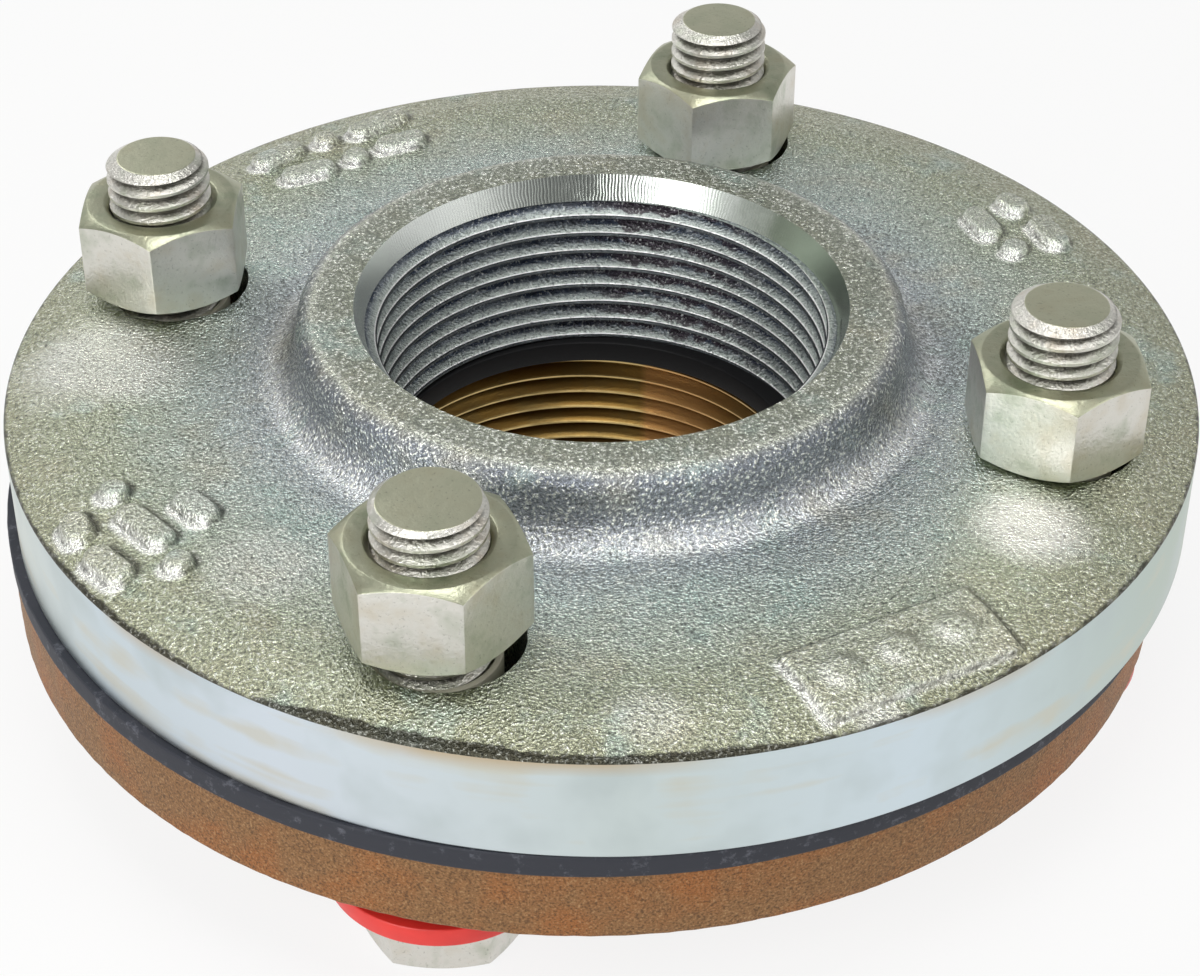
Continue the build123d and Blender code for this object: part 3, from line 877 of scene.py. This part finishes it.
# raises the marks, and keeps in attributes a painted highlight on them, a little paler all over and strongest on
# the slope to the front left where the light falls, and dirt and painted shade round their feet, the shade
# deepest on the side away from that light
def raiseMarks(body):
    look = castMarks
    group = body.vertex_groups.new(name="castMarks")
    marks, dirtAndShade = [0.0] * len(body.data.vertices), [0.0] * len(body.data.vertices)
    # towardLight: a step towards the front-left light
    towardLight = Vector((-0.8, -1.0, 0)) * mm
    for vertex in body.data.vertices:
        if vertex.co.z > ironFlange["plateFrom"] * mm and markNear(vertex.co):
            weight = markWeight(vertex.co)
            # slope: how far a point lies on a mark's side away from the light, painted shade there; lit: on its
            # side towards the light, painted highlight there
            slope = max(markWeight(vertex.co + towardLight) - weight, 0)
            lit = max(markWeight(vertex.co - towardLight) - weight, 0)
            marks[vertex.index] = min(0.25 * weight + 1.6 * lit, 1)
            atFoot = max(1 - abs(weight - 0.18) / 0.18, 0)
            dirtAndShade[vertex.index] = look["footShadeAndDirt"] * min(slope + 0.9 * atFoot, 1)
            if weight > 0:
                group.add([vertex.index], weight, "REPLACE")
    displace(body, group, look["height"] * mm, None, 0.0)
    for name, values in (("castMark", marks), ("castDirt", dirtAndShade)):
        body.data.attributes.new(name, "FLOAT", "POINT").data.foreach_set("value", values)


# moves a group's vertices along their normals, by the same amount or by a texture
def displace(piece, group, strength, texture, midLevel):
    step = piece.modifiers.new("displace", "DISPLACE")
    step.strength = strength
    step.mid_level = midLevel
    step.vertex_group = group.name
    if texture:
        step.texture = texture
        step.texture_coords = "LOCAL"
    activate(piece)
    bpy.ops.object.modifier_apply(modifier=step.name)


# makes the surface lumpy where the test wants it: lumps of that size and height in mm, which go
# both ways with a middle level of 0.5 and inwards only with 1
def roughen(piece, name, lumpMm, height, midLevel, test):
    texture = bpy.data.textures.new(name, "CLOUDS")
    texture.noise_scale = lumpMm * mm
    group = piece.vertex_groups.new(name=name)
    group.add([vertex.index for vertex in piece.data.vertices if test(vertex.co)], 1.0, "REPLACE")
    displace(piece, group, height * mm, texture, midLevel)


zincCast, zincTurned = zincPlatedCasting(), turnedZinc()
zincThread, zincChatter = cutZincThread(), chatteredZinc()
flange = makeIronFlange()
paint(flange, zincCast)
paint(flange, zincTurned, lambda spot, normal:
      spot.z < ironFlange["rimBelow"] * mm and fromAxis(spot) > ironFlange["rimOutside"] * mm)
paint(flange, zincThread, lambda spot, normal: fromAxis(spot) < ironFlange["threadInside"] * mm)
paint(flange, zincChatter, lambda spot, normal: all(low < value < high for value, (low, high) in (
    (spot.z / mm, ironFlange["coneHeights"]), (fromAxis(spot) / mm, ironFlange["coneRadii"]),
    (normal.z, ironFlange["coneSlopes"]))))
handOver(flange, "plated_iron", "iron_flange")
print("iron flange done")

bronzeFlange = {
    "hubDepth": 16.3, "height": 28.6, "rimRadius": 88.396, "rimEdgeRound": 0.8,
    "hubRadius": 45.25, "footRadius": 47.54, "footRound": 5.0, "hubEdgeRound": 3.0,
    "threadStart": 0.4, "threadInside": 36.9,
    "steps": 480, "skinSpacing": 1.1, "lumpHeight": 0.22, "lumpMm": 2.2,
}


# modelled hub up at the origin, then turned over into its place
def makeBronzeFlange():
    size = bronzeFlange
    top = size["height"]
    body = drawProfile("bronzeFlange", [
        (boreMouth["blankBore"], 0, 0),
        (size["rimRadius"], 0, 0.4),
        (size["rimRadius"], top - size["hubDepth"], size["rimEdgeRound"]),
        (size["footRadius"], top - size["hubDepth"], size["footRound"]),
        (size["hubRadius"], top, size["hubEdgeRound"]),
        (boreMouth["blankBore"], top, 0),
        (boreMouth["blankBore"], 0, 0),
    ])
    divideProfile(body, size["skinSpacing"], lambda spot: spot.z > 0.5 * mm)
    spinRound(body, size["steps"])
    combine(body, pipeTap(-2, top, size["threadStart"]), "DIFFERENCE")
    combine(body, mouthCutter(top), "DIFFERENCE")
    activate(body)
    bpy.ops.transform.rotate(value=pi, orient_axis="X", center_override=(0, 0, 0))
    bpy.ops.object.transform_apply(rotation=True)
    x, y = middleOf("bronze_flange")
    moveTo(body, x, y, top * mm)
    drillHoles(body, size["hubDepth"], top, x / mm)
    editMode(body)
    cleanUp()
    objectMode()
    inner = (boreMouth["mouthRadius"] + 0.5) * mm
    roughen(body, "bronzeLumps", size["lumpMm"], size["lumpHeight"], 1.0,
            lambda spot: fromAxis(spot, x, y) > inner and spot.z < (top - 0.3) * mm)
    smooth(body)
    return body


bronzeCast, bronzeThread = sandCastBronze(), cutBronzeThread()
lower = makeBronzeFlange()
paint(lower, bronzeCast)
bronzeMiddle = middleOf("bronze_flange")
paint(lower, bronzeThread, lambda spot, normal:
      fromAxis(spot, *bronzeMiddle) < bronzeFlange["threadInside"] * mm)
handOver(lower, "bronze", "bronze_flange")
print("bronze flange done")


# the profile of a flat ring or a tube with rounded edges, closed at a seam in its lower face
def drawRing(name, size, seam):
    bore, outer, rounding = size["boreRadius"], size["outerRadius"], size["rounding"]
    low, high = size["low"], size["high"]
    return drawProfile(name, [
        (bore + seam, low, 0), (outer, low, rounding), (outer, high, rounding),
        (bore, high, rounding), (bore, low, rounding), (bore + seam, low, 0),
    ], steps=3)


gasket = {"low": 28.6, "high": 32.2, "outerRadius": 89.496, "boreRadius": 31.4, "rounding": 0.3,
          "edgeOutside": 89.2, "edgeSpacing": 0.9, "waveMm": 7, "waveHeight": 0.25, "steps": 480}


def makeGasket():
    size = gasket
    ring = drawRing("gasketRing", size, 5)
    divideProfile(ring, size["edgeSpacing"], lambda spot: spot.x > size["edgeOutside"] * mm)
    spinRound(ring, size["steps"])
    x, y = middleOf("gasket")
    moveTo(ring, x, y)
    drillHoles(ring, size["low"], size["high"], x / mm)
    roughen(ring, "cutEdge", size["waveMm"], size["waveHeight"], 1.0,
            lambda spot: fromAxis(spot, x, y) > size["edgeOutside"] * mm)
    smooth(ring, 50)
    return ring


ring = makeGasket()
paint(ring, cutRubber())
handOver(ring, "rubber", "gasket")
print("gasket done")

hexagon = {"flats": 23.5, "chamfer": 0.55, "cone": 30.0, "edge": 0.14, "steps": 120}
boltThread = {"rootRadius": 6.6, "crestRadius": 7.95, "pitch": 2.309, "rootFlat": 0.25, "crestFlat": 0.25,
              "rounding": 0.18, "steps": smallSteps}
bolt = {"radius": 7.8, "headHeight": 9.7, "end": 73.2, "threadLength": 38, "turns": [0, 17, 41, 26],
        "chamfers": [(0.85, 0.85), (1.9, 1.2), (1.9, 1.2), (1.9, 1.2)]}  # at the end: inwards and down
nut = {"height": 13.9, "seat": 50.55, "boreRadius": 7.85, "mouthBevel": 0.9,
       "turns": [50.9, 32.9, 10.6, 30.0], "lifts": [2.85, 0.1, 0.35, 1.25]}  # degrees, and mm off the seat


# planes off the six sides of a turned blank, then breaks its sharp edges
def cutFlats(blank):
    look = hexagon
    editMode(blank)
    for side in range(6):
        angle = radians(30 + 60 * side)
        outward = Vector((cos(angle), sin(angle), 0))
        cutAway(outward * look["flats"] / 2 * mm, outward)
    cleanUp()
    chooseAll()
    bpy.ops.mesh.select_mode(type="EDGE")
    bpy.ops.mesh.select_all(action="DESELECT")
    bpy.ops.mesh.edges_select_sharp(sharpness=radians(25))
    bpy.ops.mesh.bevel(offset=look["edge"] * mm, segments=2, affect="EDGES")
    objectMode()


def hexEnds(low, high):
    look = hexagon
    face = look["flats"] / 2 - look["chamfer"]
    wide = look["flats"] * 0.6
    drop = (wide - face) * tan(radians(look["cone"]))
    return [(face, low, 0), (wide, low + drop, 0), (wide, high - drop, 0), (face, high, 0)]


def makeNut():
    look = nut
    bore, flare, top = look["boreRadius"], look["boreRadius"] + look["mouthBevel"], look["height"]
    blank = drawProfile("nut", [
        (bore, look["mouthBevel"], 0), (flare, 0, 0), *hexEnds(0, top), (flare, top, 0),
        (bore, top - look["mouthBevel"], 0), (bore, look["mouthBevel"], 0),
    ])
    spinRound(blank, hexagon["steps"])
    cutFlats(blank)
    smooth(blank, 25)
    return blank


def makeBolt(inwards, down):
    look = bolt
    head = drawProfile("bolt", [(0, 0, 0), *hexEnds(0, look["headHeight"]), (0, look["headHeight"], 0)])
    spinRound(head, hexagon["steps"])
    cutFlats(head)
    threadFoot = look["end"] - look["threadLength"]
    radius, middle = look["radius"], look["headHeight"] / 2
    shank = drawProfile("shank", [
        (0, middle, 0), (radius, middle, 0), (radius, threadFoot + 1, 0),
        (radius - 1.1, threadFoot + 2.1, 0), (0, threadFoot + 2.1, 0),
    ])
    spinRound(shank, smallSteps)
    rod = threadedRod("thread", boltThread, threadFoot, look["end"] + 2)
    envelope = drawProfile("envelope", [
        (0, threadFoot + 0.6, 0), (radius, threadFoot + 0.6, 0), (radius, look["end"] - down, 0.5),
        (radius - inwards, look["end"], 0.5), (0, look["end"], 0),
    ])
    spinRound(envelope, smallSteps)
    combine(rod, envelope, "INTERSECT")
    combine(shank, rod, "UNION")
    combine(head, shank, "UNION")
    editMode(head)
    cleanUp()  # the cuts leave triangles thinner than a micron
    objectMode()
    depths, root = [0.0] * len(head.data.vertices), boltThread["rootRadius"]
    for vertex in head.data.vertices:
        out = fromAxis(vertex.co) / mm
        if threadFoot * mm < vertex.co.z < (look["end"] - 0.3) * mm and out > root - 0.1:
            depths[vertex.index] = (radius - out) / (radius - root)
    head.data.attributes.new("groove", "FLOAT", "POINT").data.foreach_set("value", depths)
    smooth(head, 30)
    return head


def makeRing(name, size):
    ring = drawRing(name, size, 0.4)
    spinRound(ring, smallSteps)
    smooth(ring)
    return ring


steel, shadedEnd = platedSteel("platedSteel", fastener), platedSteel("platedSteelEnd", boltEnd)
nylon, tube = redNylon(), paleTube()
coarse, shadedTop = platedSteel("platedSteelThread", threadSkin), platedSteel("platedSteelTop", nutTop)
masterNut = makeNut()
masterBolts = {sizes: makeBolt(*sizes) for sizes in sorted(set(bolt["chamfers"]))}
masterWasher, masterSleeve = makeRing("washer", washer), makeRing("sleeve", sleeve)
for master, material in ((masterNut, steel), (masterWasher, nylon), (masterSleeve, tube)):
    paint(master, material)
# the nuts' top and bottom faces painted darker and more olive than their sides: painted shade
paint(masterNut, shadedTop, lambda spot, normal: abs(normal.z) > 0.4)
for master in masterBolts.values():
    paint(master, steel)
    paint(master, coarse, lambda spot, normal: spot.z > (bolt["end"] - bolt["threadLength"]) * mm)
    # the bolts' end faces painted darker and more olive: painted shade
    paint(master, shadedEnd, lambda spot, normal: spot.z > (bolt["end"] - 0.05) * mm)
for number in boltNumbers:
    x, y = middleOf(f"insulating_washer_{number}")
    piece = copyOf(masterBolts[bolt["chamfers"][number - 1]], f"hexBolt{number}")
    moveTo(piece, x, y, 0, bolt["turns"][number - 1])
    handOver(piece, "plated_steel", f"hex_bolt_{number}")
    lift = (nut["seat"] + nut["lifts"][number - 1]) * mm
    piece = moveTo(copyOf(masterNut, f"hexNut{number}"), x, y, lift, nut["turns"][number - 1])
    handOver(piece, "plated_steel", f"hex_nut_{number}")
    piece = moveTo(copyOf(masterWasher, f"insulatingWasher{number}"), x, y)
    handOver(piece, "washer_plastic", f"insulating_washer_{number}")
    piece = moveTo(copyOf(masterSleeve, f"insulatingSleeve{number}"), x, y)
    handOver(piece, "sleeve_plastic", f"insulating_sleeve_{number}")
for master in (masterNut, *masterBolts.values(), masterWasher, masterSleeve):
    bpy.data.objects.remove(master)
print("bolts, nuts and insulation done")

view = {"lens": 82.658, "target": (-0.165, 0, 25.69), "distance": 431.74, "elevation": 36.422, "roll": 0.141}


def makeCamera():
    data = bpy.data.cameras.new("camera")
    data.lens = view["lens"]
    data.sensor_width = 36
    data.clip_start = 0.01
    camera = bpy.data.objects.new("camera", data)
    bpy.context.scene.collection.objects.link(camera)
    tilt = radians(view["elevation"])
    place = Vector(view["target"]) * mm + Vector((0, -cos(tilt), sin(tilt))) * view["distance"] * mm
    camera.matrix_world = (Matrix.Translation(place) @ Matrix.Rotation(pi / 2 - tilt, 4, "X")
                           @ Matrix.Rotation(radians(view["roll"]), 4, "Z"))
    bpy.context.scene.camera = camera


studio = {
    # watts, width and height in metres, and place of each softbox
    "softboxes": {
        "frontSoftbox": (5.0, 0.45, 0.85, (-0.42, -0.66, 0.45)),
        "topSoftbox": (3.0, 0.4, 0.4, (0.0, -0.1, 0.95)),
        "rightSoftbox": (1.3, 0.3, 0.5, (0.62, -0.28, 0.6)),
        "backSoftbox": (1.0, 0.35, 0.35, (-0.45, 0.5, 0.62)),
    },
    "aim": (0, 0, 0.04),  # the point that all four look at
    "room": 0.36, "wall": 0.9, "ceiling": 0.34, "behindCamera": 0.22, "floorTint": "#E9E9E7", "floorGlow": 0.85,
}


def softbox(name, power, width, height, place):
    data = bpy.data.lights.new(name, "AREA")
    data.shape = "RECTANGLE"
    data.energy = power
    data.size, data.size_y = width, height
    lamp = bpy.data.objects.new(name, data)
    lamp.location = place
    lamp.rotation_euler = (Vector(studio["aim"]) - Vector(place)).to_track_quat("-Z", "Y").to_euler()
    bpy.context.scene.collection.objects.link(lamp)


# a pale floor, four softboxes, and a white room, darker overhead and behind the camera, for the
# metal to mirror
def makeStudio():
    look = studio
    bpy.ops.object.select_all(action="DESELECT")
    bpy.ops.mesh.primitive_plane_add(size=6)
    floor = bpy.context.object
    floor.name = "floor"
    material, tree = newMaterial("paleFloor")
    path = addNode(tree, "LightPath")
    rays = {0: path.outputs["Is Camera Ray"], 1: path.outputs["Is Glossy Ray"]}
    seen = addNode(tree, "Math", {"operation": "MAXIMUM"}, rays)
    matte = addNode(tree, "BsdfPrincipled", {"Base Color": toLinear(look["floorTint"]), "Roughness": 0.9})
    glow = addNode(tree, "Emission", {"Strength": 1.0})
    share = addNode(tree, "Math", {"operation": "MULTIPLY", 1: look["floorGlow"]}, {0: seen})
    mix = addNode(tree, "MixShader", {}, {0: share, 1: matte, 2: glow})
    addNode(tree, "OutputMaterial", {}, {"Surface": mix})
    floor.data.materials.append(material)
    for name, values in look["softboxes"].items():
        softbox(name, *values)
    world = bpy.data.worlds.new("room")
    bpy.context.scene.world = world
    world.use_nodes = True
    tree = world.node_tree
    tree.nodes.clear()
    path = addNode(tree, "LightPath")
    rays = {0: path.outputs["Is Camera Ray"], 1: path.outputs["Is Glossy Ray"]}
    direct = addNode(tree, "Math", {"operation": "MAXIMUM"}, rays)
    seen = addNode(tree, "Math", {"operation": "MAXIMUM"}, {0: direct, 1: path.outputs["Is Transmission Ray"]})
    way = addNode(tree, "TexCoord")
    parts = addNode(tree, "SeparateXYZ", {}, {"Vector": way.outputs["Generated"]})
    upwards = {"range": (0.15, 0.8, look["wall"], look["ceiling"])}
    wall = addNode(tree, "MapRange", upwards, {"Value": parts.outputs["Z"]})
    toCamera = addNode(tree, "VectorMath", {"operation": "DOT_PRODUCT", 1: (0.1, -0.9, 0.42)},
                       {0: way.outputs["Generated"]})
    front = addNode(tree, "MapRange", {"range": (0.8, 0.93)}, {"Value": toCamera})
    shaded = addNode(tree, "Mix", {"data_type": "FLOAT", 3: look["behindCamera"]}, {0: front, 2: wall})
    strength = addNode(tree, "Mix", {"data_type": "FLOAT", 2: look["room"]}, {0: seen, 3: shaded})
    back = addNode(tree, "Background", {}, {"Strength": strength})
    addNode(tree, "OutputWorld", {}, {"Surface": back})


makeCamera()
makeStudio()
bpy.context.scene.view_settings.view_transform = "Standard"
